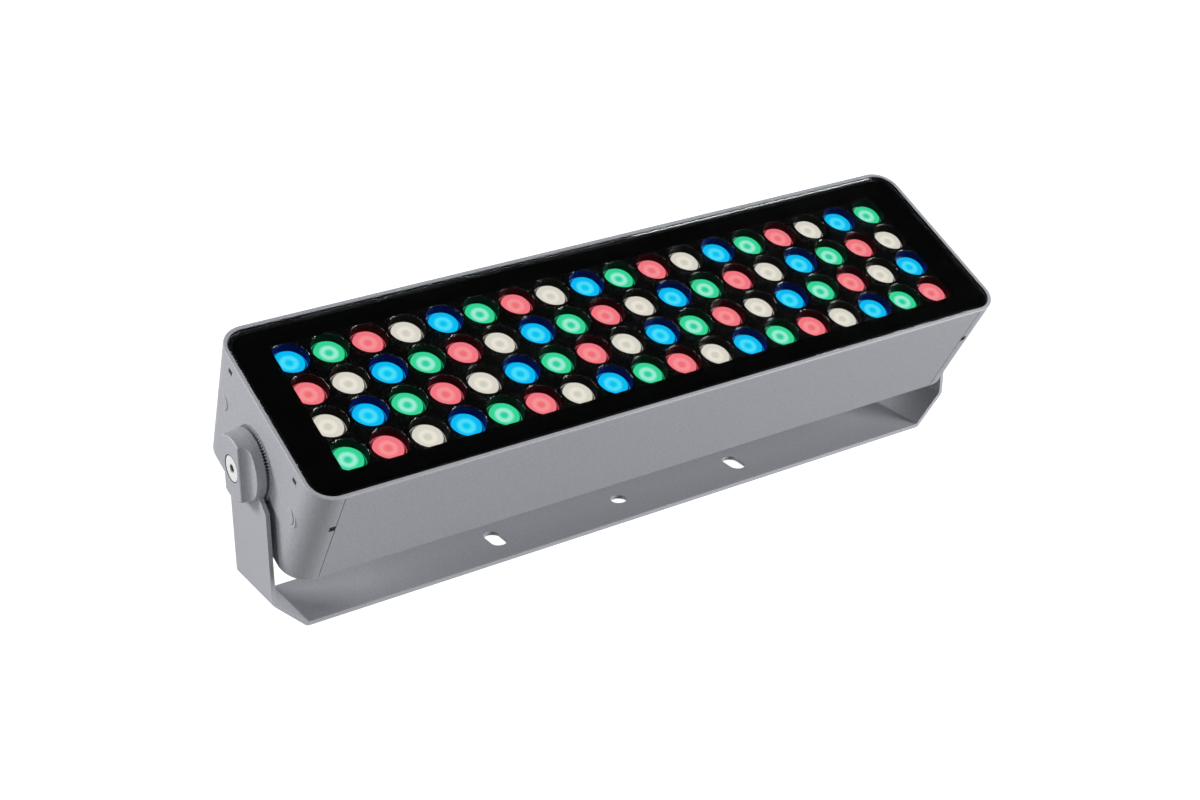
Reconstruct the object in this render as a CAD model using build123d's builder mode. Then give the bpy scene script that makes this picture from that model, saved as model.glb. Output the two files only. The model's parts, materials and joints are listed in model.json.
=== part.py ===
from build123d import *
import math
import os

os.makedirs("parts", exist_ok=True)

# Outdoor wall washer: a long light head that tilts between the arms of a folded yoke.
# Frame: origin at the middle of the yoke's base, on the face that meets the wall or floor,
# +Z up, +X along the LED rows, -Y towards the side that the tilted glass faces.
# Head heights are measured from the pivot axis along the normal of the glass.
# All lengths are in millimetres, all angles in degrees.

# ---------------------------------------------------------------- driving dimensions
tilt = 25.0                 # of the glass from level, as the lamp stands
pivot_height = 100.0

# LED grid and the black plate with a well for each LED
led_columns = 18
led_rows = 4
led_pitch = 25.0
well_wall = 3.1             # thinnest wall between two wells
well_land = 0.1             # flat left between the rounded mouths of two wells
plate_end_margin = 5.55
plate_side_margin = 4.55
plate_gap = 0.25            # round the plate, in the opening of the housing
plate_headroom = 0.3        # between plate and glass
skirt_thickness = 1.6

# Lenses
lens_depth = 5.0            # lit face below the front of the plate
lens_step = 2.0             # lit face above the flange
flange_width = 1.75
flange_thickness = 1.0
lens_clearance = 0.15
lens_shoulder = 1.0         # lip of the well that the flange rests on
shoulder_clearance = 0.3
lens_body_height = 7.7
lens_foot_radius = 4.6
lens_cavity_radius = 3.2
lens_cavity_height = 3.2
lens_lift = 0.8             # foot of a lens above its board

# LEDs and their boards
chip_size = 3.5
chip_height = 0.8
dome_radius = 1.4
dome_height = 0.5
board_thickness = 1.6
board_gap = 1.0             # board to skirt
board_split = 0.5           # between the two boards
board_screw_columns = (2, 5, 8)
lead_column = 1

# Housing
ledge_width = 10.75
ledge_height = 8.0
web_thickness = 3.4
chamber_height = 33.0
floor_thickness = 4.0
wall = 3.0
side_draft = 7.8            # how far each long side leans in over its height
front_height = 39.0
back_depth = 42.0
fin_thickness = 2.0
fin_pitch = 7.5
fins_per_side = 5
channel_width = 34.0        # clear channel along the back
port_offset = 43.5          # screw ports for the end caps
port_height = 4.5
port_radius = 5.0
port_rib = 3.0
tray_lip_width = 4.0
tray_lip_height = 2.0
tray_lip_clearance = 0.3

# End caps
corner_radius = 16.0
cap_straight = 1.55         # straight stretch of a cap past its rounded corner
cap_wall = 3.5
cap_boss_radius = 7.5
insert_boss_radius = 12.0
seam_gap = 0.5
seal_inset = 0.6
plug_radius = 5.5
plug_depth = 3.0
plug_stand = 0.5            # proud of the end face
plug_clearance = 0.1
plug_bevel = 0.3
hook_slot_length = 4.4      # slots for a glare shield's hooks
hook_slot_height = 3.2
hook_slot_depth = 5.0
hook_slot_offset = 41.6
hook_slot_level = 31.3
seam_slot_width = 3.6
seam_slot_height = 4.8
seam_slot_depth = 2.4
seam_slot_level = 8.8

# Front rim and glass
rim_width = 2.3
rim_thickness = 1.2
rim_bevel = 0.4
glass_thickness = 4.0
glass_recess = 0.2
glass_clearance = 0.2
glass_bevel = 0.3
bond_thickness = 1.0
bond_width = 2.5
bond_inset = 0.5

# Pivot
tooth_count = 72
tooth_height = 1.0
tooth_width = 1.15
tooth_flank = 20.0
tooth_gap = 0.6             # tip to tip, slack enough to turn the head
ring_base = 0.5
ring_overhang = 1.1         # of the ring on an end cap beyond its mate
disc_base = 0.5
clutch_radius = 21.2
tooth_inner_radius = 15.5
key_size = 14.0
key_clearance = 0.1
key_reach = 2.0             # of the square key into the pivot cap
insert_radius = 7.0
insert_floor = 1.75
hub_base_radius = 21.2
hub_face_radius = 19.6
hub_height = 8.1
hub_bar_width = 20.6
hub_flange = 2.3
hub_edge = 0.5

# Yoke
sheet = 2.5
bend_radius = 2.0
yoke_depth = 47.0
corner_leg = 20.5
neck_width = 32.0
shoulder_drop = 20.9
arm_end_radius = 21.2
centre_hole_radius = 5.25
slot_width = 10.5
slot_length = 18.5
slot_offset = 92.0

# Screws: radius of shaft, radius and height of head, length under the head
pivot_screw_radius = 4.0
pivot_screw_head = 7.8
pivot_screw_length = 29.0
pivot_screw_sink = 0.3
countersink_gap = 0.6       # round the screw's head, at the face of a pivot cap
hex_across = 5.0
hex_depth = 3.0
running_clearance = 0.05
cap_screw_radius = 2.5
cap_screw_head = 4.25
cap_screw_head_height = 5.0
cap_screw_length = 22.0
cap_screw_hex = 4.0
cap_screw_hex_depth = 2.5
small_screw_radius = 1.5
small_screw_head = 2.75
small_screw_head_height = 2.0
thread_clearance = 0.05
hole_clearance = 0.3

# Driver tray and what stands on it
tray_thickness = 1.5
tray_length = 390.0
tray_side_gap = 0.6
supply_length = 120.0
supply_width = 60.0
supply_height = 28.0
supply_start = -190.0
supply_foot = 10.0
supply_screw_offset = 15.0
supply_foot_height = 2.0
supply_edge = 2.0
supply_lead_length = 20.0   # from the power supply to the control board
control_length = 170.0
control_width = 70.0
component_offset = 17.5     # the board's two rows of parts, from its middle line
control_board_thickness = 1.6
standoff_height = 8.0
standoff_radius = 3.0
standoff_inset = 5.0
standoff_grip = 4.0         # of a screw in its standoff
inductor_radius = 7.0
inductor_height = 9.0
inductor_bore = 2.5
inductor_start = 70.0       # along the board, to the first pair
inductor_pitch = 28.0
capacitor_radius = 5.0
capacitor_height = 14.0
capacitor_start = 45.0
terminal_length = 10.0
terminal_width = 20.0
terminal_height = 11.0
socket_length = 8.0
socket_width = 6.0
socket_height = 4.5
lead_radius = 1.5
supply_lead_radius = 1.2
supply_lead_spacing = 7.0
grommet_radius = 5.0
grommet_flange_radius = 6.5
grommet_flange = 1.5

# Cable gland and vent in the back
entry_offset = 212.0
gland_thread_radius = 8.0
gland_across = 22.0
gland_washer_thickness = 1.0
gland_washer_radius = 12.0
gland_hex_height = 5.0
gland_barrel_radius = 9.0
gland_barrel_height = 7.0
gland_bore = 5.5
gland_thread_reach = 7.0
gland_nut_height = 5.0
gland_dome_height = 10.7
gland_dome_hex = 5.3        # height of the dome nut's hexagon
gland_dome_end = 2.0
gland_dome_bore = 5.0
gland_seal_radius = 6.9
gland_seal_bore = 4.0
gland_seal_length = 8.0
gland_clearance = 0.1
gland_dome_round = 3.0
vent_thread_radius = 6.0
vent_head_radius = 9.0
vent_head_height = 5.0
vent_bore = 2.5
vent_reach = 6.0
vent_nut_across = 17.0
vent_nut_height = 4.0
vent_slot = 2.0

# ---------------------------------------------------------------- worked-out heights
glass_front = front_height - glass_recess
glass_back = glass_front - glass_thickness
ledge_top = glass_back - bond_thickness
ledge_bottom = ledge_top - ledge_height
wall_top = front_height - rim_thickness
plate_top = glass_back - plate_headroom
lens_face = plate_top - lens_depth
flange_top = lens_face - lens_step
flange_bottom = flange_top - flange_thickness
plate_bottom = flange_bottom - lens_shoulder
lens_foot = flange_bottom - lens_body_height
board_top = lens_foot - lens_lift
web_top = board_top - board_thickness
web_bottom = web_top - web_thickness
floor_top = web_bottom - chamber_height
floor_bottom = floor_top - floor_thickness
tray_top = floor_top + tray_thickness
control_bottom = tray_top + standoff_height
control_top = control_bottom + control_board_thickness

# ---------------------------------------------------------------- worked-out widths and lengths
well_radius = (led_pitch - well_wall) / 2
well_rounding = (well_wall - well_land) / 2
flange_radius = well_radius - lens_clearance
lit_radius = flange_radius - flange_width
plate_half_x = (led_columns - 1) / 2 * led_pitch + well_radius + plate_end_margin
plate_half_y = (led_rows - 1) / 2 * led_pitch + well_radius + plate_side_margin
tray_half = plate_half_y + plate_gap
cap_start = plate_half_x + plate_gap
extrusion_end = cap_start - seam_gap
half_length = cap_start + cap_straight + corner_radius
pocket_half_x = half_length - rim_width
pocket_half_y = tray_half + ledge_width
half_front = pocket_half_y + rim_width
pocket_radius = corner_radius - rim_width
glass_half_x = pocket_half_x - glass_clearance
glass_half_y = pocket_half_y - glass_clearance
glass_radius = pocket_radius - glass_clearance
board_half_x = plate_half_x - skirt_thickness - board_gap
board_half_y = plate_half_y - skirt_thickness - board_gap

ring_radius = clutch_radius + ring_overhang
ring_face = half_length + ring_base
arm_inner = ring_face + tooth_height + tooth_gap + tooth_height + disc_base
arm_outer = arm_inner + sheet
hub_face = arm_outer + hub_height
screw_face = hub_face - pivot_screw_sink
insert_end = cap_start + insert_floor
supply_end = supply_start + supply_length
control_start = supply_end + supply_lead_length
plug_floor = half_length - plug_depth
cap_screw_seat = plug_floor - cap_screw_head_height - thread_clearance

# ---------------------------------------------------------------- planes of the tilted head
lean = math.radians(tilt)
head_frame = Plane(
    origin=(0, 0, pivot_height),
    x_dir=(1, 0, 0),
    z_dir=(0, -math.sin(lean), math.cos(lean)),
)
head_up = Axis(head_frame.origin, head_frame.z_dir)
head_across = Axis(head_frame.origin, head_frame.y_dir)


def head_level(height):
    """Plane parallel to the glass, at a height above the pivot axis."""
    return head_frame.offset(height)


def head_section(station):
    """Plane across the head at a distance along its length: local x is the head's width,
    local y its height above the pivot axis, and the normal is +X."""
    return Plane(
        origin=head_frame.from_local_coords((station, 0, 0)),
        x_dir=head_frame.y_dir,
        z_dir=head_frame.x_dir,
    )


def arm_section(station):
    """Upright plane across the yoke at the pivot: local x is +Y and local y is +Z."""
    return Plane(origin=(station, 0, pivot_height), x_dir=(0, 1, 0), z_dir=(1, 0, 0))


def half_width(height):
    """Half of the head's outer width at a height above the pivot axis."""
    share = (front_height - height) / (front_height + back_depth)
    return half_front - side_draft * share


def section_outline(inset, bottom, top):
    """Corners of the head's cross-section between two heights, drawn in from its long sides."""
    low = half_width(bottom) - inset
    high = half_width(top) - inset
    return [(-low, bottom), (low, bottom), (high, top), (-high, top)]


def rounded_ring(outer_x, outer_y, outer_radius, width):
    """Ring of one width round the glass, given by the half sizes of its outer edge."""
    with BuildSketch() as ring:
        RectangleRounded(2 * outer_x, 2 * outer_y, outer_radius)
        RectangleRounded(2 * (outer_x - width), 2 * (outer_y - width), outer_radius - width,
                         mode=Mode.SUBTRACT)
    return ring.sketch


# ---------------------------------------------------------------- LED colours
colour_order = ("blue", "green", "red", "white")
row_starts = ("blue", "red", "white", "green")      # from the far row to the near one


def led_spots(colour):
    """Centres of all LEDs of one colour, in the plane of the boards."""
    spots = []
    for row in range(led_rows):
        start = colour_order.index(row_starts[row % len(row_starts)])
        y = ((led_rows - 1) / 2 - row) * led_pitch
        for column in range(led_columns):
            if colour_order[(start + column) % len(colour_order)] == colour:
                spots.append(((column - (led_columns - 1) / 2) * led_pitch, y))
    return spots


board_screw_spots = []
for column in board_screw_columns:
    for side in (-1, 1):
        for row in (-1, 1):
            board_screw_spots.append((side * column * led_pitch, row * led_pitch))
lead_spots = [(-lead_column * led_pitch, 0), (lead_column * led_pitch, 0)]

# ================================================================ YOKE SIDE
# ---------------------------------------------------------------- bracket_yoke
# One strip of steel sheet, bent twice at each end into a 45 degree corner. The arms narrow
# to a neck below the pivot and end round. A square hole takes the key of the clutch disc.
with BuildPart() as bracket_yoke:
    with BuildSketch(Plane.XZ):
        with BuildLine():
            FilletPolyline(
                (-arm_outer, pivot_height + arm_end_radius),
                (-arm_outer, corner_leg),
                (-arm_outer + corner_leg, 0),
                (arm_outer - corner_leg, 0),
                (arm_outer, corner_leg),
                (arm_outer, pivot_height + arm_end_radius),
                radius=bend_radius + sheet,
            )
            offset(amount=sheet, side=Side.LEFT)
        make_face()
    extrude(amount=yoke_depth / 2, both=True)
    with BuildSketch(arm_section(-arm_outer)) as arm_shape:
        with BuildLine():
            Polyline(
                (-yoke_depth / 2, -pivot_height),
                (-yoke_depth / 2, -shoulder_drop),
                (-neck_width / 2, -shoulder_drop + (yoke_depth - neck_width) / 2),
                (-neck_width / 2, 0),
                (neck_width / 2, 0),
                (neck_width / 2, -shoulder_drop + (yoke_depth - neck_width) / 2),
                (yoke_depth / 2, -shoulder_drop),
                (yoke_depth / 2, -pivot_height),
                close=True,
            )
        make_face()
        Circle(arm_end_radius)
    extrude(amount=2 * arm_outer, mode=Mode.INTERSECT)
    with BuildSketch(arm_section(-arm_outer)):
        Rectangle(key_size + 2 * key_clearance, key_size + 2 * key_clearance)
    extrude(amount=2 * arm_outer, mode=Mode.SUBTRACT)
    with BuildSketch(Plane.XY):
        Circle(centre_hole_radius)
        with Locations((-slot_offset, 0), (slot_offset, 0)):
            SlotOverall(slot_length, slot_width, rotation=90)
    extrude(amount=sheet, mode=Mode.SUBTRACT)
bracket_yoke.part.label = "bracket_yoke"
export_step(bracket_yoke.part, "parts/bracket_yoke.step")


# ---------------------------------------------------------------- clutch discs
# Toothed washers on the arms' inner faces. Their teeth meet those of the end caps, and a
# square key through the arm keeps them, and the cap outside, from turning.
with BuildPart() as clutch_disc_right:
    with BuildSketch(arm_section(arm_inner - disc_base)):
        Circle(clutch_radius)
    extrude(amount=disc_base)
    with BuildSketch(arm_section(arm_inner)):
        Rectangle(key_size, key_size)
    extrude(amount=sheet + key_reach)
    with BuildSketch(arm_section(arm_inner - disc_base)):
        with PolarLocations((clutch_radius + tooth_inner_radius) / 2, tooth_count):
            Rectangle(clutch_radius - tooth_inner_radius, tooth_width)
    extrude(amount=-tooth_height, taper=tooth_flank)
    with BuildSketch(arm_section(arm_inner - disc_base)):
        Circle(pivot_screw_radius + hole_clearance)
    extrude(amount=disc_base + sheet + key_reach, mode=Mode.SUBTRACT)
clutch_disc_right.part.label = "clutch_disc_right"
export_step(clutch_disc_right.part, "parts/clutch_disc_right.step")

with BuildPart() as clutch_disc_left:
    mirror(clutch_disc_right.part, about=Plane.YZ)
clutch_disc_left.part.label = "clutch_disc_left"
export_step(clutch_disc_left.part, "parts/clutch_disc_left.step")

# ---------------------------------------------------------------- pivot caps
# Round caps on the arms' outer faces: a straight bar along the arm stands between two
# scooped flanks that run out into a low flange.
scoop_radius = hub_height - hub_flange
scoop_centre = hub_bar_width / 2 + scoop_radius
with BuildPart() as pivot_cap_right:
    with BuildSketch(Plane.XY.offset(pivot_height)):
        with BuildLine():
            Polyline(
                (arm_outer, 0),
                (hub_face, 0),
                (hub_face, hub_face_radius),
                (arm_outer, hub_base_radius),
                close=True,
            )
        make_face()
    revolve(axis=Axis((0, 0, pivot_height), (1, 0, 0)))
    with BuildSketch(Plane.XY.offset(pivot_height)):
        for side in (-1, 1):
            with BuildLine():
                Line((hub_face, side * 2 * hub_base_radius), (hub_face, side * hub_bar_width / 2))
                RadiusArc(
                    (hub_face, side * hub_bar_width / 2),
                    (arm_outer + hub_flange, side * scoop_centre),
                    side * scoop_radius,
                )
                Polyline(
                    (arm_outer + hub_flange, side * scoop_centre),
                    (arm_outer + hub_flange, side * 2 * hub_base_radius),
                    (hub_face, side * 2 * hub_base_radius),
                )
            make_face()
    extrude(amount=hub_base_radius, both=True, mode=Mode.SUBTRACT)
    chamfer(pivot_cap_right.faces().sort_by(Axis.X)[-1].edges(), hub_edge)
    with BuildSketch(arm_section(arm_outer)):
        Rectangle(key_size + 2 * key_clearance, key_size + 2 * key_clearance)
    extrude(amount=key_reach + key_clearance, mode=Mode.SUBTRACT)
    with BuildSketch(Plane.XY.offset(pivot_height)):
        with BuildLine():
            Polyline(
                (arm_outer, 0),
                (hub_face, 0),
                (hub_face, pivot_screw_head + countersink_gap),
                (
                    hub_face - pivot_screw_head + pivot_screw_radius,
                    pivot_screw_radius + hole_clearance,
                ),
                (arm_outer, pivot_screw_radius + hole_clearance),
                close=True,
            )
        make_face()
    revolve(axis=Axis((0, 0, pivot_height), (1, 0, 0)), mode=Mode.SUBTRACT)
pivot_cap_right.part.label = "pivot_cap_right"
export_step(pivot_cap_right.part, "parts/pivot_cap_right.step")

with BuildPart() as pivot_cap_left:
    mirror(pivot_cap_right.part, about=Plane.YZ)
pivot_cap_left.part.label = "pivot_cap_left"
export_step(pivot_cap_left.part, "parts/pivot_cap_left.step")

# ---------------------------------------------------------------- pivot screws
# Countersunk socket screws, one at each end: the head turns about their shafts, and
# tightening them presses the toothed faces together.
with BuildPart() as pivot_screw_right:
    with BuildSketch(Plane.XY.offset(pivot_height)):
        with BuildLine():
            Polyline(
                (screw_face - pivot_screw_length, 0),
                (screw_face, 0),
                (screw_face, pivot_screw_head),
                (screw_face - pivot_screw_head + pivot_screw_radius, pivot_screw_radius),
                (screw_face - pivot_screw_length, pivot_screw_radius),
                close=True,
            )
        make_face()
    revolve(axis=Axis((0, 0, pivot_height), (1, 0, 0)))
    with BuildSketch(arm_section(screw_face)):
        RegularPolygon(hex_across / 2, 6, major_radius=False)
    extrude(amount=-hex_depth, mode=Mode.SUBTRACT)
pivot_screw_right.part.label = "pivot_screw_right"
export_step(pivot_screw_right.part, "parts/pivot_screw_right.step")

with BuildPart() as pivot_screw_left:
    mirror(pivot_screw_right.part, about=Plane.YZ)
pivot_screw_left.part.label = "pivot_screw_left"
export_step(pivot_screw_left.part, "parts/pivot_screw_left.step")

# ================================================================ HEAD, OUTER SHELLS
# ---------------------------------------------------------------- housing_body
# Aluminium extrusion: leaning walls, a ledge for the glass, a web that carries the LED
# boards, a closed chamber for the driver, and cooling fins on the back.
fin_root = channel_width / 2 + fin_thickness / 2
fin_places = []
for index in range(fins_per_side):
    for side in (-1, 1):
        fin_places.append((side * (fin_root + index * fin_pitch), (floor_top - back_depth) / 2))
port_places = [(-port_offset, port_height), (port_offset, port_height)]
lip_level = tray_top + tray_lip_clearance
with BuildPart() as housing_body:
    with BuildSketch(head_section(-extrusion_end)):
        Polygon(*section_outline(0, -back_depth, wall_top), align=None)
        glass_pocket = [(-pocket_half_y, ledge_top), (pocket_half_y, ledge_top),
                        (pocket_half_y, front_height), (-pocket_half_y, front_height)]
        Polygon(*glass_pocket, align=None, mode=Mode.SUBTRACT)
        tray_opening = [(-tray_half, web_top), (tray_half, web_top),
                        (tray_half, front_height), (-tray_half, front_height)]
        Polygon(*tray_opening, align=None, mode=Mode.SUBTRACT)
        Polygon(*section_outline(wall, web_top, ledge_bottom), align=None, mode=Mode.SUBTRACT)
        Polygon(*section_outline(wall, floor_top, web_bottom), align=None, mode=Mode.SUBTRACT)
        Polygon(*section_outline(wall, -front_height - back_depth, floor_bottom),
                align=None, mode=Mode.SUBTRACT)
        with Locations(*fin_places):
            Rectangle(fin_thickness, back_depth + floor_top)
        with Locations(*port_places):
            Circle(port_radius)
            Rectangle(port_rib, web_bottom - port_height, align=(Align.CENTER, Align.MIN))
        with Locations(*port_places):
            Circle(cap_screw_radius + thread_clearance, mode=Mode.SUBTRACT)
        for side in (-1, 1):
            reach = side * (half_width(floor_top) - wall / 2)
            inner = side * (half_width(floor_top) - wall - tray_lip_width)
            lip = [(inner, lip_level), (reach, lip_level),
                   (reach, lip_level + tray_lip_height), (inner, lip_level + tray_lip_height)]
            Polygon(*lip, align=None)
    extrude(amount=2 * extrusion_end)
    with BuildSketch(head_level(web_bottom)):
        with Locations(*lead_spots):
            Circle(grommet_radius)
        with Locations(*board_screw_spots):
            Circle(small_screw_radius + thread_clearance)
    extrude(amount=web_thickness, mode=Mode.SUBTRACT)
    with BuildSketch(head_level(floor_bottom)):
        with Locations((entry_offset, 0)):
            Circle(gland_thread_radius + gland_clearance)
        with Locations((-entry_offset, 0)):
            Circle(vent_thread_radius + gland_clearance)
    extrude(amount=floor_thickness, mode=Mode.SUBTRACT)
housing_body.part.label = "housing_body"
export_step(housing_body.part, "parts/housing_body.step")


# ---------------------------------------------------------------- end caps
def cap_block(inset, bottom, top, outer_face, radius):
    """Block over one end of the head, with the plan's two rounded corners."""
    with BuildPart() as block:
        with BuildSketch(head_section(cap_start)):
            Polygon(*section_outline(inset, bottom, top), align=None)
        extrude(amount=outer_face - cap_start)
        end_face = block.faces().sort_by(Axis.X)[-1]
        fillet(end_face.edges().filter_by(head_across, reverse=True), radius)
    return block.part


# Die-cast caps: hollow behind, with bosses for two screws and for the pivot's insert, and a
# toothed ring round the pivot.
cap_pocket_face = half_length - cap_wall
cap_pocket_radius = corner_radius - max(wall, cap_wall)
with BuildPart() as end_cap_right:
    add(cap_block(0, -back_depth, wall_top, half_length, corner_radius))
    add(cap_block(wall, floor_top, ledge_bottom, cap_pocket_face, cap_pocket_radius),
        mode=Mode.SUBTRACT)
    add(cap_block(wall, -back_depth + wall, floor_bottom, cap_pocket_face, cap_pocket_radius),
        mode=Mode.SUBTRACT)
    with BuildSketch(head_section(cap_start)):
        Circle(insert_boss_radius)
        with Locations(*port_places):
            Circle(cap_boss_radius)
    extrude(amount=half_length - cap_start)
    with BuildSketch(head_level(ledge_top)):
        RectangleRounded(2 * pocket_half_x, 2 * pocket_half_y, pocket_radius)
    extrude(amount=front_height - ledge_top, mode=Mode.SUBTRACT)
    with BuildSketch(head_section(half_length)):
        Circle(ring_radius)
    extrude(amount=ring_base)
    with BuildSketch(head_section(ring_face)):
        with PolarLocations((ring_radius + tooth_inner_radius) / 2, tooth_count):
            Rectangle(ring_radius - tooth_inner_radius, tooth_width)
    extrude(amount=tooth_height, taper=tooth_flank)
    with BuildSketch(head_section(insert_end)):
        Circle(insert_radius)
    extrude(amount=ring_face - insert_end, mode=Mode.SUBTRACT)
    with BuildSketch(head_section(half_length)):
        with Locations(*port_places):
            Circle(plug_radius + plug_clearance)
    extrude(amount=-plug_depth, mode=Mode.SUBTRACT)
    with BuildSketch(head_section(plug_floor)):
        with Locations(*port_places):
            Circle(cap_screw_head + hole_clearance)
    extrude(amount=cap_screw_seat - plug_floor, mode=Mode.SUBTRACT)
    with BuildSketch(head_section(cap_screw_seat)):
        with Locations(*port_places):
            Circle(cap_screw_radius + hole_clearance)
    extrude(amount=cap_start - cap_screw_seat, mode=Mode.SUBTRACT)
    with BuildSketch(head_section(half_length)):
        with Locations((-hook_slot_offset, hook_slot_level), (hook_slot_offset, hook_slot_level)):
            Rectangle(hook_slot_length, hook_slot_height)
    extrude(amount=-hook_slot_depth, mode=Mode.SUBTRACT)
    with BuildSketch(head_section(cap_start)):
        for side in (-1, 1):
            outside = side * half_width(seam_slot_level)
            with Locations((outside, seam_slot_level)):
                Rectangle(2 * seam_slot_depth, seam_slot_height)
    extrude(amount=seam_slot_width, mode=Mode.SUBTRACT)
end_cap_right.part.label = "end_cap_right"
export_step(end_cap_right.part, "parts/end_cap_right.step")

with BuildPart() as end_cap_left:
    mirror(end_cap_right.part, about=Plane.YZ)
end_cap_left.part.label = "end_cap_left"
export_step(end_cap_left.part, "parts/end_cap_left.step")

# ---------------------------------------------------------------- end cap seals
# Flat U-shaped gaskets between caps and extrusion: up both walls and across the floor.
with BuildPart() as end_cap_gasket_right:
    with BuildSketch(head_section(extrusion_end)):
        Polygon(*section_outline(seal_inset, floor_bottom, ledge_top), align=None)
        Polygon(*section_outline(wall, floor_top, front_height), align=None, mode=Mode.SUBTRACT)
    extrude(amount=seam_gap)
end_cap_gasket_right.part.label = "end_cap_gasket_right"
export_step(end_cap_gasket_right.part, "parts/end_cap_gasket_right.step")

with BuildPart() as end_cap_gasket_left:
    mirror(end_cap_gasket_right.part, about=Plane.YZ)
end_cap_gasket_left.part.label = "end_cap_gasket_left"
export_step(end_cap_gasket_left.part, "parts/end_cap_gasket_left.step")

# ---------------------------------------------------------------- end cap screws and plugs
# Two socket head screws hold each cap, sunk under plugs that stand a little proud.
with BuildPart() as end_cap_screws:
    for side in (-1, 1):
        with BuildSketch(head_section(side * cap_screw_seat)):
            with Locations(*port_places):
                Circle(cap_screw_head)
        extrude(amount=side * cap_screw_head_height)
        with BuildSketch(head_section(side * cap_screw_seat)):
            with Locations(*port_places):
                Circle(cap_screw_radius)
        extrude(amount=-side * cap_screw_length)
        with BuildSketch(head_section(side * (cap_screw_seat + cap_screw_head_height))):
            with Locations(*port_places):
                RegularPolygon(cap_screw_hex / 2, 6, major_radius=False)
        extrude(amount=-side * cap_screw_hex_depth, mode=Mode.SUBTRACT)
end_cap_screws.part.label = "end_cap_screws"
export_step(end_cap_screws.part, "parts/end_cap_screws.step")

with BuildPart() as screw_plugs:
    for side in (-1, 1):
        with BuildSketch(head_section(side * plug_floor)):
            with Locations(*port_places):
                Circle(plug_radius)
        extrude(amount=side * (plug_depth + plug_stand))
    outer_rims = screw_plugs.edges().filter_by(GeomType.CIRCLE).group_by(Axis.X)
    chamfer(outer_rims[0] + outer_rims[-1], plug_bevel)
screw_plugs.part.label = "screw_plugs"
export_step(screw_plugs.part, "parts/screw_plugs.step")

# ---------------------------------------------------------------- pivot inserts
# Steel inserts in the caps' bosses, in which the pivot screws run.
with BuildPart() as pivot_insert_right:
    with BuildSketch(head_section(insert_end)):
        Circle(insert_radius)
        Circle(pivot_screw_radius + running_clearance, mode=Mode.SUBTRACT)
    extrude(amount=ring_face - insert_end)
pivot_insert_right.part.label = "pivot_insert_right"
export_step(pivot_insert_right.part, "parts/pivot_insert_right.step")

with BuildPart() as pivot_insert_left:
    mirror(pivot_insert_right.part, about=Plane.YZ)
pivot_insert_left.part.label = "pivot_insert_left"
export_step(pivot_insert_left.part, "parts/pivot_insert_left.step")

# ---------------------------------------------------------------- front frame
# Slim one-piece rim on the edge of housing and caps, bevelled outside.
with BuildPart() as front_frame:
    with BuildSketch(head_level(wall_top)):
        add(rounded_ring(half_length, half_front, corner_radius, rim_width))
    extrude(amount=rim_thickness)
    rim_face = front_frame.faces().sort_by(head_up)[-1]
    chamfer(rim_face.outer_wire().edges(), rim_bevel)
front_frame.part.label = "front_frame"
export_step(front_frame.part, "parts/front_frame.step")

# ---------------------------------------------------------------- glass and its bond
with BuildPart() as front_glass:
    with BuildSketch(head_level(glass_back)):
        RectangleRounded(2 * glass_half_x, 2 * glass_half_y, glass_radius)
    extrude(amount=glass_thickness)
    glass_face = front_glass.faces().sort_by(head_up)[-1]
    chamfer(glass_face.edges(), glass_bevel)
front_glass.part.label = "front_glass"
export_step(front_glass.part, "parts/front_glass.step")

with BuildPart() as glass_gasket:
    with BuildSketch(head_level(ledge_top)):
        add(rounded_ring(glass_half_x - bond_inset, glass_half_y - bond_inset,
                         glass_radius - bond_inset, bond_width))
    extrude(amount=bond_thickness)
glass_gasket.part.label = "glass_gasket"
export_step(glass_gasket.part, "parts/glass_gasket.step")

# ================================================================ HEAD, LIGHT ENGINE
# ---------------------------------------------------------------- cell_plate
# Black moulding with a well for each lens: a lip at the foot of the well carries the lens,
# its mouth is well rounded, and a skirt round the edge stands on the housing's web.
with BuildPart() as cell_plate:
    with BuildSketch(head_level(plate_bottom)):
        Rectangle(2 * plate_half_x, 2 * plate_half_y)
    extrude(amount=plate_top - plate_bottom)
    with BuildSketch(head_level(web_top)):
        Rectangle(2 * plate_half_x, 2 * plate_half_y)
        Rectangle(2 * (plate_half_x - skirt_thickness), 2 * (plate_half_y - skirt_thickness),
                  mode=Mode.SUBTRACT)
    extrude(amount=plate_bottom - web_top)
    with BuildSketch(head_level(flange_bottom)):
        with GridLocations(led_pitch, led_pitch, led_columns, led_rows):
            Circle(well_radius)
    extrude(amount=plate_top - flange_bottom, mode=Mode.SUBTRACT)
    well_mouths = cell_plate.faces().sort_by(head_up)[-1].inner_wires()
    fillet(well_mouths.edges(), well_rounding)
    with BuildSketch(head_level(plate_bottom)):
        with GridLocations(led_pitch, led_pitch, led_columns, led_rows):
            Circle(lit_radius + shoulder_clearance)
    extrude(amount=lens_shoulder, mode=Mode.SUBTRACT)
cell_plate.part.label = "cell_plate"
export_step(cell_plate.part, "parts/cell_plate.step")


# ---------------------------------------------------------------- lenses and LEDs
def lens_profile():
    """Half section of one lens: radius and height above its foot, about the lens's axis."""
    flange_foot = flange_bottom - lens_foot
    with BuildSketch(Plane.XZ) as profile:
        with BuildLine():
            Polyline(
                (lens_cavity_radius, 0),
                (lens_foot_radius, 0),
                (lit_radius, flange_foot),
                (flange_radius, flange_foot),
                (flange_radius, flange_foot + flange_thickness),
                (lit_radius, flange_foot + flange_thickness),
                (lit_radius, lens_face - lens_foot),
                (0, lens_face - lens_foot),
                (0, lens_cavity_height),
                (lens_cavity_radius, lens_cavity_height),
                close=True,
            )
        make_face()
    return profile.sketch


with BuildPart() as one_lens:
    revolve(lens_profile(), axis=Axis.Z)

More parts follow.
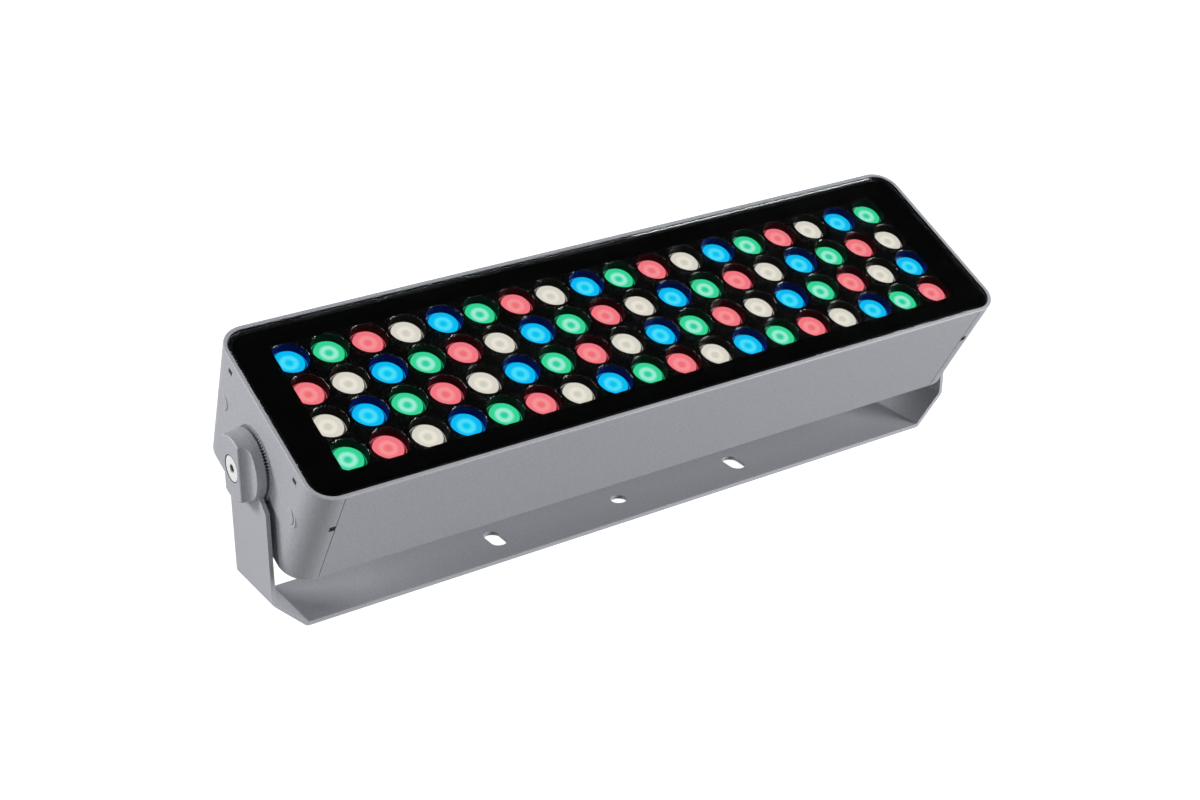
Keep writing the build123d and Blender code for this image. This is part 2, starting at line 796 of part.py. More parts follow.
with BuildPart() as one_led:
    with BuildSketch(Plane.XY):
        Rectangle(chip_size, chip_size)
    extrude(amount=chip_height)
    with BuildSketch(Plane.XY.offset(chip_height)):
        Circle(dome_radius)
    extrude(amount=dome_height)

# One node of lenses and one of LEDs for each of the four colours
for colour in colour_order:
    with BuildPart(head_level(lens_foot)) as lenses:
        with Locations(*led_spots(colour)):
            add(one_lens.part)
    lenses.part.label = f"lenses_{colour}"
    export_step(lenses.part, f"parts/lenses_{colour}.step")

    with BuildPart(head_level(board_top)) as leds:
        with Locations(*led_spots(colour)):
            add(one_led.part)
    leds.part.label = f"leds_{colour}"
    export_step(leds.part, f"parts/leds_{colour}.step")

# ---------------------------------------------------------------- LED boards
# Two metal-core boards end to end on the web, each with a hole for its lead.
with BuildPart() as led_board_right:
    with BuildSketch(head_level(web_top)):
        with Locations(((board_half_x + board_split / 2) / 2, 0)):
            Rectangle(board_half_x - board_split / 2, 2 * board_half_y)
        with Locations(*board_screw_spots):
            Circle(small_screw_radius + hole_clearance, mode=Mode.SUBTRACT)
        with Locations(*lead_spots):
            Circle(lead_radius + hole_clearance, mode=Mode.SUBTRACT)
    extrude(amount=board_thickness)
led_board_right.part.label = "led_board_right"
export_step(led_board_right.part, "parts/led_board_right.step")

with BuildPart() as led_board_left:
    mirror(led_board_right.part, about=Plane.YZ)
led_board_left.part.label = "led_board_left"
export_step(led_board_left.part, "parts/led_board_left.step")


def pan_screws(seat, spots, length):
    """Small pan head screws whose heads stand on the seat plane, one at each spot."""
    with BuildPart() as screws:
        with BuildSketch(seat):
            with Locations(*spots):
                Circle(small_screw_head)
        extrude(amount=small_screw_head_height)
        with BuildSketch(seat):
            with Locations(*spots):
                Circle(small_screw_radius)
        extrude(amount=-length)
    return screws.part


with BuildPart() as board_screws:
    add(pan_screws(head_level(board_top), board_screw_spots, board_top - web_bottom))
board_screws.part.label = "board_screws"
export_step(board_screws.part, "parts/board_screws.step")

# ---------------------------------------------------------------- board sockets
# A socket on each LED board, over the hole that its lead comes up through, and its fellow
# on the control board straight below.
with BuildPart() as lead_sockets:
    for level in (board_top, control_top):
        with BuildSketch(head_level(level)):
            with Locations(*lead_spots):
                Rectangle(socket_length, socket_width)
        extrude(amount=socket_height)
lead_sockets.part.label = "lead_sockets"
export_step(lead_sockets.part, "parts/lead_sockets.step")

with BuildPart() as led_leads:
    with BuildSketch(head_level(control_top + socket_height)):
        with Locations(*lead_spots):
            Circle(lead_radius)
    extrude(amount=board_top - control_top - socket_height)
led_leads.part.label = "led_leads"
export_step(led_leads.part, "parts/led_leads.step")

with BuildPart() as lead_grommets:
    with BuildSketch(head_level(web_bottom)):
        with Locations(*lead_spots):
            Circle(grommet_radius - thread_clearance)
    extrude(amount=web_thickness - thread_clearance)
    with BuildSketch(head_level(web_bottom)):
        with Locations(*lead_spots):
            Circle(grommet_flange_radius)
    extrude(amount=-grommet_flange)
    with BuildSketch(head_level(web_bottom - grommet_flange)):
        with Locations(*lead_spots):
            Circle(lead_radius + thread_clearance)
    extrude(amount=web_thickness + grommet_flange, mode=Mode.SUBTRACT)
lead_grommets.part.label = "lead_grommets"
export_step(lead_grommets.part, "parts/lead_grommets.step")

# ================================================================ HEAD, DRIVER CHAMBER
# ---------------------------------------------------------------- driver_tray
# Sheet that slides in along the chamber's floor, under the two lips of the housing.
tray_half_width = half_width(floor_top) - wall - tray_side_gap
supply_screw_spots = []
for end in (supply_start - supply_foot / 2, supply_end + supply_foot / 2):
    for side in (-1, 1):
        supply_screw_spots.append((end, side * supply_screw_offset))
standoff_spots = []
for x in (control_start + standoff_inset, control_start + control_length - standoff_inset):
    for side in (-1, 1):
        standoff_spots.append((x, side * (control_width / 2 - standoff_inset)))

with BuildPart() as driver_tray:
    with BuildSketch(head_level(floor_top)):
        Rectangle(tray_length, 2 * tray_half_width)
        with Locations(*supply_screw_spots):
            Circle(small_screw_radius + thread_clearance, mode=Mode.SUBTRACT)
    extrude(amount=tray_thickness)
driver_tray.part.label = "driver_tray"
export_step(driver_tray.part, "parts/driver_tray.step")

# ---------------------------------------------------------------- power_supply
# Aluminium brick with a screwed foot at each end.
with BuildPart() as power_supply:
    with BuildSketch(head_level(tray_top)):
        with Locations((supply_start + supply_length / 2, 0)):
            RectangleRounded(supply_length, supply_width, supply_edge)
    extrude(amount=supply_height)
    with BuildSketch(head_level(tray_top)):
        with Locations((supply_start + supply_length / 2, 0)):
            Rectangle(supply_length + 2 * supply_foot, supply_width - 2 * supply_edge)
        with Locations(*supply_screw_spots):
            Circle(small_screw_radius + hole_clearance, mode=Mode.SUBTRACT)
    extrude(amount=supply_foot_height)
power_supply.part.label = "power_supply"
export_step(power_supply.part, "parts/power_supply.step")

with BuildPart() as supply_screws:
    add(pan_screws(head_level(tray_top + supply_foot_height), supply_screw_spots,
                   supply_foot_height + tray_thickness))
supply_screws.part.label = "supply_screws"
export_step(supply_screws.part, "parts/supply_screws.step")

# ---------------------------------------------------------------- control board
with BuildPart() as standoffs:
    with BuildSketch(head_level(tray_top)):
        with Locations(*standoff_spots):
            Circle(standoff_radius)
            Circle(small_screw_radius + thread_clearance, mode=Mode.SUBTRACT)
    extrude(amount=standoff_height)
standoffs.part.label = "standoffs"
export_step(standoffs.part, "parts/standoffs.step")

with BuildPart() as control_board:
    with BuildSketch(head_level(control_bottom)):
        with Locations((control_start + control_length / 2, 0)):
            Rectangle(control_length, control_width)
        with Locations(*standoff_spots):
            Circle(small_screw_radius + hole_clearance, mode=Mode.SUBTRACT)
    extrude(amount=control_board_thickness)
control_board.part.label = "control_board"
export_step(control_board.part, "parts/control_board.step")

with BuildPart() as control_board_screws:
    add(pan_screws(head_level(control_top), standoff_spots,
                   control_board_thickness + standoff_grip))
control_board_screws.part.label = "control_board_screws"
export_step(control_board_screws.part, "parts/control_board_screws.step")

# Terminal block at the supply's end, then a pair of capacitors, then one wound inductor
# for each LED colour
terminal_x = control_start + terminal_length / 2
with BuildPart() as terminal_block:
    with BuildSketch(head_level(control_top)):
        with Locations((terminal_x, 0)):
            Rectangle(terminal_length, terminal_width)
    extrude(amount=terminal_height)
terminal_block.part.label = "terminal_block"
export_step(terminal_block.part, "parts/terminal_block.step")

capacitor_spots = []
for side in (-1, 1):
    capacitor_spots.append((control_start + capacitor_start, side * component_offset))
with BuildPart() as capacitors:
    with BuildSketch(head_level(control_top)):
        with Locations(*capacitor_spots):
            Circle(capacitor_radius)
    extrude(amount=capacitor_height)
capacitors.part.label = "capacitors"
export_step(capacitors.part, "parts/capacitors.step")

inductor_spots = []
for x in (inductor_start, inductor_start + inductor_pitch):
    for side in (-1, 1):
        inductor_spots.append((control_start + x, side * component_offset))
with BuildPart() as inductors:
    with BuildSketch(head_level(control_top)):
        with Locations(*inductor_spots):
            Circle(inductor_radius)
            Circle(inductor_bore, mode=Mode.SUBTRACT)
    extrude(amount=inductor_height)
inductors.part.label = "inductors"
export_step(inductors.part, "parts/inductors.step")

# Two straight wires from the power supply's end to the terminal block
with BuildPart() as supply_leads:
    with BuildSketch(head_section(supply_end)):
        for side in (-1, 1):
            with Locations((side * supply_lead_spacing / 2, control_top + terminal_height / 2)):
                Circle(supply_lead_radius)
    extrude(amount=supply_lead_length)
supply_leads.part.label = "supply_leads"
export_step(supply_leads.part, "parts/supply_leads.step")

# ================================================================ HEAD, BACK FITTINGS
# ---------------------------------------------------------------- cable gland
# Each piece of the gland is round or hexagonal about one axis through the floor.
washer_face = floor_bottom - gland_washer_thickness
barrel_start = washer_face - gland_hex_height
barrel_end = barrel_start - gland_barrel_height
dome_start = barrel_start - gland_clearance
dome_end = dome_start - gland_dome_height
seal_end = dome_end + gland_dome_end
seal_start = seal_end + gland_seal_length

with BuildPart() as gland_washer:
    with BuildSketch(head_level(floor_bottom)):
        with Locations((entry_offset, 0)):
            Circle(gland_washer_radius)
            Circle(gland_thread_radius + gland_clearance, mode=Mode.SUBTRACT)
    extrude(amount=-gland_washer_thickness)
gland_washer.part.label = "gland_washer"
export_step(gland_washer.part, "parts/gland_washer.step")

with BuildPart() as gland_body:
    with BuildSketch(head_level(washer_face)):
        with Locations((entry_offset, 0)):
            RegularPolygon(gland_across / 2, 6, major_radius=False)
    extrude(amount=-gland_hex_height)
    with BuildSketch(head_level(washer_face)):
        with Locations((entry_offset, 0)):
            Circle(gland_thread_radius)
    extrude(amount=gland_washer_thickness + floor_thickness + gland_thread_reach)
    with BuildSketch(head_level(barrel_start)):
        with Locations((entry_offset, 0)):
            Circle(gland_barrel_radius)
    extrude(amount=-gland_barrel_height)
    with BuildSketch(head_level(barrel_end)):
        with Locations((entry_offset, 0)):
            Circle(gland_bore)
    extrude(amount=floor_top + gland_thread_reach - barrel_end, mode=Mode.SUBTRACT)
    with BuildSketch(head_level(barrel_end)):
        with Locations((entry_offset, 0)):
            Circle(gland_seal_radius + gland_clearance)
    extrude(amount=seal_start - barrel_end, mode=Mode.SUBTRACT)
gland_body.part.label = "gland_body"
export_step(gland_body.part, "parts/gland_body.step")

with BuildPart() as gland_locknut:
    with BuildSketch(head_level(floor_top)):
        with Locations((entry_offset, 0)):
            RegularPolygon(gland_across / 2, 6, major_radius=False)
            Circle(gland_thread_radius + thread_clearance, mode=Mode.SUBTRACT)
    extrude(amount=gland_nut_height)
gland_locknut.part.label = "gland_locknut"
export_step(gland_locknut.part, "parts/gland_locknut.step")

with BuildPart() as gland_dome_nut:
    with BuildSketch(head_level(dome_start)):
        with Locations((entry_offset, 0)):
            RegularPolygon(gland_across / 2, 6, major_radius=False)
    extrude(amount=-gland_dome_hex)
    with BuildSketch(head_level(dome_start - gland_dome_hex)):
        with Locations((entry_offset, 0)):
            Circle(gland_across / 2 - gland_clearance)
    extrude(amount=gland_dome_hex - gland_dome_height)
    dome_face = gland_dome_nut.faces().sort_by(head_up)[0]
    fillet(dome_face.edges(), gland_dome_round)
    with BuildSketch(head_level(dome_start)):
        with Locations((entry_offset, 0)):
            Circle(gland_barrel_radius + gland_clearance)
    extrude(amount=gland_dome_end - gland_dome_height, mode=Mode.SUBTRACT)
    with BuildSketch(head_level(dome_end)):
        with Locations((entry_offset, 0)):
            Circle(gland_dome_bore)
    extrude(amount=gland_dome_end, mode=Mode.SUBTRACT)
gland_dome_nut.part.label = "gland_dome_nut"
export_step(gland_dome_nut.part, "parts/gland_dome_nut.step")

with BuildPart() as gland_seal:
    with BuildSketch(head_level(seal_end)):
        with Locations((entry_offset, 0)):
            Circle(gland_seal_radius)
            Circle(gland_seal_bore, mode=Mode.SUBTRACT)
    extrude(amount=gland_seal_length)
gland_seal.part.label = "gland_seal"
export_step(gland_seal.part, "parts/gland_seal.step")

# ---------------------------------------------------------------- pressure vent
with BuildPart() as vent_plug:
    with BuildSketch(head_level(floor_bottom)):
        with Locations((-entry_offset, 0)):
            Circle(vent_head_radius)
    extrude(amount=-vent_head_height)
    with BuildSketch(head_level(floor_bottom)):
        with Locations((-entry_offset, 0)):
            Circle(vent_thread_radius)
    extrude(amount=floor_thickness + vent_reach)
    with BuildSketch(head_level(floor_bottom)):
        with Locations((-entry_offset, 0)):
            Circle(vent_bore)
    extrude(amount=floor_thickness + vent_reach, mode=Mode.SUBTRACT)
    with BuildSketch(head_level(floor_bottom - vent_head_height)):
        with Locations((-entry_offset, 0)):
            Rectangle(2 * vent_head_radius, vent_slot)
    extrude(amount=vent_slot, mode=Mode.SUBTRACT)
vent_plug.part.label = "vent_plug"
export_step(vent_plug.part, "parts/vent_plug.step")

with BuildPart() as vent_nut:
    with BuildSketch(head_level(floor_top)):
        with Locations((-entry_offset, 0)):
            RegularPolygon(vent_nut_across / 2, 6, major_radius=False)
            Circle(vent_thread_radius + thread_clearance, mode=Mode.SUBTRACT)
    extrude(amount=vent_nut_height)
vent_nut.part.label = "vent_nut"
export_step(vent_nut.part, "parts/vent_nut.step")
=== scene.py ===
# %% [markdown]
# # An outdoor wall washer light
#
# The light is a long aluminium head with a black glass front, and behind the glass four rows
# of coloured LED lenses. The head tilts in a yoke folded from steel sheet. The shapes come
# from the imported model. This lesson dresses them: it sets the camera, makes the finishes,
# adds the pieces that are print or fine detail, and lights the whole plainly. The photograph
# shows colours and gloss but names no material, so each one here is a guess from how such
# lights are usually built.

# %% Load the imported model
import json
import math

import bmesh
import bpy
from mathutils import Matrix, Vector


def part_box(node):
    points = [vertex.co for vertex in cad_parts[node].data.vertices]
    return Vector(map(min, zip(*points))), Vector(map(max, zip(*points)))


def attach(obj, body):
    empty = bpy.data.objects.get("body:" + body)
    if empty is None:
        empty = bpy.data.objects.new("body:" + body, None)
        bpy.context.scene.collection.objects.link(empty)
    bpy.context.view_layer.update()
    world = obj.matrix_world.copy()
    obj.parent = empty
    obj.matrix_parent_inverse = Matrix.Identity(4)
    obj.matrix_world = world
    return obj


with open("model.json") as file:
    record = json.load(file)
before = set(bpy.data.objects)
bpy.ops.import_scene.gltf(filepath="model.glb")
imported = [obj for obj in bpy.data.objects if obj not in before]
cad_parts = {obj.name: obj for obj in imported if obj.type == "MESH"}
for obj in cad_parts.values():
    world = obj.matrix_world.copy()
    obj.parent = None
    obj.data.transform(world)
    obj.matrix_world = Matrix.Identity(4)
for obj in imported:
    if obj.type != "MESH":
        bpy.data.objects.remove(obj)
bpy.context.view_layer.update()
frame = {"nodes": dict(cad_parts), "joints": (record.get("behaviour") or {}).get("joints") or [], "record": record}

print("pieces in the model:", len(frame["nodes"]))

# %% [markdown]
# ## Lengths and colours
#
# The model is in metres, but a light like this is drawn in millimetres, so one value turns
# millimetres to metres. Colours are picked as sRGB hex values, as a paint chart gives them,
# while shaders want linear light. One function turns the first into the second.

# %% Millimetres and hex colours
MM = 0.001


def srgb(hex_value):
    """Linear RGBA colour of an sRGB hex value such as "A0A4A8"."""
    linear = []
    for start in (0, 2, 4):
        share = int(hex_value[start:start + 2], 16) / 255
        linear.append(share / 12.92 if share <= 0.04045 else ((share + 0.055) / 1.055) ** 2.4)
    return (*linear, 1.0)


print("mid grey in linear light:", [round(part, 3) for part in srgb("808080")])

# %% [markdown]
# ## The camera
#
# The camera could be aimed by eye until the outline looks right. Here its place, turn and
# lens were worked out from the grid of LED centres in the photograph: eighteen columns and
# four rows at one pitch fix where the camera stood, counted in pitches. That one pitch is
# 25 mm is an assumption, and every length in millimetres rests on it. The Standard view
# transform shows each colour as it is written.

# %% Camera
camera_place = Vector((-655.8, -951.0, 636.5)) * MM
camera_turn = (63.987, -0.350, -33.809)     # degrees about X, Y and Z
sensor_width = 36.0         # mm
focal_length = 61.81        # mm
camera = bpy.data.objects.new("camera", bpy.data.cameras.new("camera"))
bpy.context.scene.collection.objects.link(camera)
camera.location = camera_place
camera.rotation_euler = [math.radians(turn) for turn in camera_turn]
camera.data.sensor_width = sensor_width
camera.data.lens = focal_length
bpy.context.scene.camera = camera
bpy.context.scene.view_settings.view_transform = "Standard"
print("camera stands", round(camera_place.length, 3), "m from the middle of the base")

# %% [markdown]
# ## The head's own directions
#
# The head is tilted 25 degrees about its pivots. Everything on the glass is easiest to place
# in the head's own directions: across the glass, and up along its normal. One matrix turns
# such a place, in millimetres from the pivot axis, into the frame of the model.

# %% Tilted frame of the head
tilt = math.radians(25.0)
pivot = Vector(frame["joints"][0]["pos_m"])
head_matrix = Matrix.Translation(pivot) @ Matrix.Rotation(tilt, 4, "X") @ Matrix.Scale(MM, 4)
glass_low, glass_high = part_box("front_glass")
print("glass is", round((glass_high.x - glass_low.x) / MM, 1), "mm long")

# %% [markdown]
# ## One helper for shader nodes
#
# A material is a small graph. Building it by hand takes three lines for each node, so one
# helper adds a node, sets its values and joins its inputs in one call.


# %% Add a node
def add_node(tree, kind, settings=None, links=None):
    """New node in a tree: settings are its properties or input values, links its inputs."""
    node = tree.nodes.new(kind)
    for key, value in (settings or {}).items():
        if isinstance(key, str) and hasattr(node, key):
            setattr(node, key, value)
        else:
            node.inputs[key].default_value = value
    for key, output in (links or {}).items():
        tree.links.new(output, node.inputs[key])
    return node


def new_material(name):
    """Empty material with its node tree."""
    material = bpy.data.materials.new(name)
    material.use_nodes = True
    material.node_tree.nodes.clear()
    return material


finishes = {}

# %% [markdown]
# ## Finishes with a grain
#
# Most surfaces here are one colour with a fine grain: paint, plating, rubber, moulded
# plastic. Each could be one flat colour, but then every part looks like the same plastic.
# One function makes the grain: a noise of a real size in millimetres moves the colour
# between two close tones, moves the roughness between two values, and raises the surface a
# little. A stretch makes the grain run one way, as on rolled sheet.


# %% Grained finish
grain_detail = 3.0
tone_band = (0.35, 0.65)    # of the noise, over which one tone turns into the other
grain_bump = 0.6


def grained(name, tones, grain, metallic, roughness, relief,
            stretch=(1.0, 1.0, 1.0), ior=1.5):
    """Material with a noise grain: tones are two hex colours, grain and relief are in mm."""
    material = new_material(name)
    tree = material.node_tree
    place = add_node(tree, "ShaderNodeTexCoord")
    run = add_node(tree, "ShaderNodeMapping", {"Scale": stretch},
                   {"Vector": place.outputs["Object"]})
    noise = add_node(tree, "ShaderNodeTexNoise",
                     {"Scale": 1 / (grain * MM), "Detail": grain_detail},
                     {"Vector": run.outputs["Vector"]})
    colour = add_node(tree, "ShaderNodeValToRGB", {}, {"Fac": noise.outputs["Fac"]})
    for element, position, tone in zip(colour.color_ramp.elements, tone_band, tones):
        element.position = position
        element.color = srgb(tone)
    rough = add_node(tree, "ShaderNodeMapRange",
                     {"To Min": roughness[0], "To Max": roughness[1]},
                     {"Value": noise.outputs["Fac"]})
    bump = add_node(tree, "ShaderNodeBump",
                    {"Strength": grain_bump, "Distance": relief * MM},
                    {"Height": noise.outputs["Fac"]})
    shader = add_node(tree, "ShaderNodeBsdfPrincipled", {"Metallic": metallic},
                      {"Base Color": colour.outputs["Color"], "Roughness": rough.outputs["Result"],
                       "Normal": bump.outputs["Normal"]})
    if not metallic:
        shader.inputs["IOR"].default_value = ior
    add_node(tree, "ShaderNodeOutputMaterial", {}, {"Surface": shader.outputs["BSDF"]})
    return material


# %% [markdown]
# ## Powder coat
#
# Head and yoke have a silver-grey satin skin with faint specks, which reads as polyester
# powder, baked on: it melts into a very fine orange peel, and aluminium flakes in it make
# small light and dark specks. Such flakes are too fine to show, so the specks are drawn about
# 0.9 mm across.

# %% Silver powder coat
powder_speck = 0.9
finishes["silver_powder_coat"] = grained(
    "silver_powder_coat", ("AAACB3", "BCBEC5"), powder_speck, 0.1, (0.5, 0.6), 0.015)
print("powder coat specks:", powder_speck, "mm")

# %% [markdown]
# ## Plated and bare metals
#
# The screws read as zinc plated steel with a clear, nearly white skin over the zinc: in the
# photograph the pivot screw is a soft white with only a little mirror in it. The other metals
# show nowhere in it. The gland and vent are brass plated with nickel, which is warmer and
# shinier. Standoffs are turned brass. The driver's tray and case are rolled aluminium sheet,
# whose fine streaks run along the rolling direction.

# %% Metals
finishes["zinc_plated_steel"] = grained(
    "zinc_plated_steel", ("F4F5F6", "FEFEFE"), 0.8, 0.2, (0.4, 0.5), 0.01)
finishes["nickel_plated_brass"] = grained(
    "nickel_plated_brass", ("BDB7A9", "CDC7BA"), 1.2, 1.0, (0.18, 0.28), 0.005)
finishes["standoff_brass"] = grained(
    "standoff_brass", ("B8923F", "CBA556"), 0.5, 1.0, (0.25, 0.4), 0.01)
finishes["sheet_aluminium"] = grained(
    "sheet_aluminium", ("C6C8CA", "D8DADB"), 0.5, 1.0, (0.3, 0.45), 0.008,
    stretch=(0.05, 1, 1))
finishes["enamelled_copper"] = grained(
    "enamelled_copper", ("8E4A22", "C0703A"), 0.6, 1.0, (0.25, 0.4), 0.1,
    stretch=(0.1, 0.1, 1))
print("metals:", len(finishes) - 1)

# %% [markdown]
# ## Rubber, plastic and boards
#
# The seals are black rubber with a dull skin, the bond round the glass is black silicone, a
# little glossier. The plate round the lenses is black polycarbonate, moulded smooth: with a
# duller one its flat top turned grey, and in the photograph it is black. Inside are nylon
# sockets, PVC wires, ceramic LED packages and printed boards under solder mask.

# %% Rubber and plastics
finishes["seal_rubber"] = grained(
    "seal_rubber", ("101112", "1B1C1D"), 0.7, 0.0, (0.7, 0.85), 0.03)
finishes["silicone_bond"] = grained(
    "silicone_bond", ("08080A", "101012"), 2.0, 0.0, (0.4, 0.5), 0.05)
finishes["black_moulding"] = grained(
    "black_moulding", ("030304", "060608"), 0.5, 0.0, (0.24, 0.3), 0.01, ior=1.58)
finishes["white_nylon"] = grained(
    "white_nylon", ("DDDBD0", "E9E7DD"), 1.0, 0.0, (0.4, 0.5), 0.02)
finishes["wire_insulation"] = grained(
    "wire_insulation", ("141416", "202024"), 1.5, 0.0, (0.4, 0.5), 0.01)
finishes["capacitor_sleeve"] = grained(
    "capacitor_sleeve", ("16181F", "20242E"), 2.0, 0.0, (0.2, 0.3), 0.01)
finishes["led_ceramic"] = grained(
    "led_ceramic", ("D8CC7A", "EBE6C4"), 1.6, 0.0, (0.35, 0.5), 0.01)
finishes["white_mask_board"] = grained(
    "white_mask_board", ("E2E4E0", "EEF0EC"), 3.0, 0.0, (0.3, 0.4), 0.02)
finishes["green_mask_board"] = grained(
    "green_mask_board", ("0C4A22", "14642F"), 2.5, 0.0, (0.25, 0.35), 0.03)
print("finishes so far:", len(finishes))

# %% [markdown]
# ## Toughened glass
#
# The front is 4 mm of toughened soda-lime glass. Its index of refraction is 1.52, and it is
# clear, so the shader lets all light through. Toughening leaves a very slight wave, tens of
# millimetres long, which shows only as a soft bend in reflections.

# %% Glass
glass_wave = 40.0           # mm
wave_height = 0.01          # mm
wave_detail = 1.0
wave_strength = 0.3
glass = new_material("toughened_glass")
tree = glass.node_tree
place = add_node(tree, "ShaderNodeTexCoord")
wave = add_node(tree, "ShaderNodeTexNoise",
                {"Scale": 1 / (glass_wave * MM), "Detail": wave_detail},
                {"Vector": place.outputs["Object"]})
wave_bump = add_node(tree, "ShaderNodeBump",
                     {"Strength": wave_strength, "Distance": wave_height * MM},
                     {"Height": wave.outputs["Fac"]})
glass_shader = add_node(tree, "ShaderNodeBsdfPrincipled",
                        {"Base Color": srgb("F6FBF9"), "Roughness": 0.0, "IOR": 1.52,
                         "Transmission Weight": 1.0}, {"Normal": wave_bump.outputs["Normal"]})
add_node(tree, "ShaderNodeOutputMaterial", {}, {"Surface": glass_shader.outputs["BSDF"]})
finishes["toughened_glass"] = glass
print("waves in the glass:", glass_wave, "mm")

# %% [markdown]
# ## Lit lenses
#
# Each lens is clear acrylic over one LED. Lit, its round face glows: a ring round the LED's
# image is paler, and the flange below leaks a dim rim of the same colour. The glow could be
# one flat emission, but the ring is what says "lens". The pattern is worked out from the
# distance to the nearest lens axis: the place is turned into the head's directions, divided
# by the 25 mm pitch, and its fraction gives the place within one cell. The light that a lens
# spills on the walls of its well is set apart from the pattern that is seen, by the kind of
# ray, because a bright spill made those walls too vivid. The spilt colours are darker ones.

# %% Glow of one colour
led_pitch = 25.0
cell_half = led_pitch / 2
image_radius = 1.6          # of the LED's image in the middle of the lens
ring_radii = (3.4, 4.6)     # between which the ring is palest
ring_end = 6.2
face_radius = 8.95
flange_radius = 10.8
flange_edge = 0.4           # last stretch of the flange, which turns bright again
blend = 0.1                 # over which one colour turns into the next
seen_glow = 1.1
spilt_glow = 1.0


def lit_lens(name, centre, ring, face, rim, spilt):
    """Acrylic lens lit from below: hex colours of middle, ring, face, flange rim and walls."""
    material = new_material(name)
    tree = material.node_tree
    place = add_node(tree, "ShaderNodeTexCoord")
    cell = add_node(tree, "ShaderNodeMapping",
                    {"vector_type": "TEXTURE", "Location": pivot, "Rotation": (tilt, 0, 0),
                     "Scale": [led_pitch * MM] * 3}, {"Vector": place.outputs["Object"]})
    share = add_node(tree, "ShaderNodeVectorMath", {"operation": "FRACTION"},
                     {0: cell.outputs["Vector"]})
    middle = add_node(tree, "ShaderNodeVectorMath", {"operation": "SUBTRACT", 1: (0.5, 0.5, 0)},
                      {0: share.outputs["Vector"]})
    flat = add_node(tree, "ShaderNodeVectorMath",
                    {"operation": "MULTIPLY", 1: (led_pitch, led_pitch, 0)},
                    {0: middle.outputs["Vector"]})
    radius = add_node(tree, "ShaderNodeVectorMath", {"operation": "LENGTH"},
                      {0: flat.outputs["Vector"]})
    reach = add_node(tree, "ShaderNodeMath", {"operation": "DIVIDE", 1: cell_half},
                     {0: radius.outputs["Value"]})
    ramp = add_node(tree, "ShaderNodeValToRGB", {}, {"Fac": reach.outputs["Value"]})
    stops = [(0.0, centre), (image_radius, centre), (ring_radii[0], ring), (ring_radii[1], ring),
             (ring_end, face), (face_radius, face), (face_radius + blend, rim),
             (flange_radius - flange_edge, rim), (flange_radius - blend, face)]
    elements = ramp.color_ramp.elements
    while len(elements) < len(stops):
        elements.new(1.0)
    for element, (distance, colour) in zip(elements, stops):
        element.position = distance / cell_half
        element.color = srgb(colour)
    rays = add_node(tree, "ShaderNodeLightPath")
    seen = add_node(tree, "ShaderNodeMath", {"operation": "MAXIMUM"},
                    {0: rays.outputs["Is Camera Ray"], 1: rays.outputs["Is Transmission Ray"]})
    glow = add_node(tree, "ShaderNodeMapRange", {"To Min": spilt_glow, "To Max": seen_glow},
                    {"Value": seen.outputs["Value"]})
    colour = add_node(tree, "ShaderNodeMix", {"data_type": "RGBA", 6: srgb(spilt)},
                      {0: seen.outputs["Value"], 7: ramp.outputs["Color"]})
    shader = add_node(tree, "ShaderNodeBsdfPrincipled",
                      {"Base Color": (0.0, 0.0, 0.0, 1.0), "Roughness": 0.15, "IOR": 1.49},
                      {"Emission Color": colour.outputs[2],
                       "Emission Strength": glow.outputs["Result"]})
    add_node(tree, "ShaderNodeOutputMaterial", {}, {"Surface": shader.outputs["BSDF"]})
    return material


for name, hexes in (
        ("lens_blue", ("05C8F7", "4AE2FF", "06BEFA", "0A3A78", "003CD0")),
        ("lens_green", ("2FD49E", "9FF0DA", "36D898", "0B4A30", "005838")),
        ("lens_red", ("F8717C", "FF9599", "FB7884", "5A1420", "701020")),
        ("lens_white", ("D8D0C4", "F0E8DC", "DFD7CC", "4A4644", "383430"))):
    finishes[name] = lit_lens(name, *hexes)
print("lit colours:", [name for name in finishes if name.startswith("lens_")])

# %% [markdown]
# ## Put the finishes on
#
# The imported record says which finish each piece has, so the dressing is one loop.

# %% Finishes on the pieces
for part in frame["record"]["subparts"]:
    node = frame["nodes"][part["node"]]
    for slot in node.material_slots:
        slot.material = finishes[part["material_slot"]]

# %% [markdown]
# ## Printed border
#
# The black border round the lenses reads as ceramic enamel, screen printed on the back of the
# glass before it is toughened, with a clear window over the lenses. It hides the bond and the
# edge of the plate. It could be a dark ring in the glass's shader, but a thin ring of its own
# just under the glass also looks right from the side.

# %% Border under the glass
border_level = 34.74        # mm above the pivot axis, just under the glass
border_thickness = 0.04
border_half = (243.8, 63.3)
border_corner = 13.0
window_half = (221.0, 48.0)
window_corner = 1.0
corner_steps = 8


def rounded_loop(half, corner, level):
    """Corners of a rectangle with rounded corners, in mm in the head's own directions."""
    points = []
    for quarter, (side_x, side_y) in enumerate(((1, 1), (-1, 1), (-1, -1), (1, -1))):
        for step in range(corner_steps + 1):
            angle = math.radians(90 * (quarter + step / corner_steps))
            x = side_x * (half[0] - corner) + corner * math.cos(angle)
            y = side_y * (half[1] - corner) + corner * math.sin(angle)
            points.append(Vector((x, y, level)))
    return points


def add_piece(name, mesh, material, body):
    """New object from a bmesh in mm in the head's directions, dressed and riding a body."""
    mesh.transform(head_matrix)
    bmesh.ops.recalc_face_normals(mesh, faces=mesh.faces)
    data = bpy.data.meshes.new(name)
    mesh.to_mesh(data)
    mesh.free()
    data.materials.append(material)
    piece = bpy.data.objects.new(name, data)
    bpy.context.scene.collection.objects.link(piece)
    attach(piece, body)
    return piece


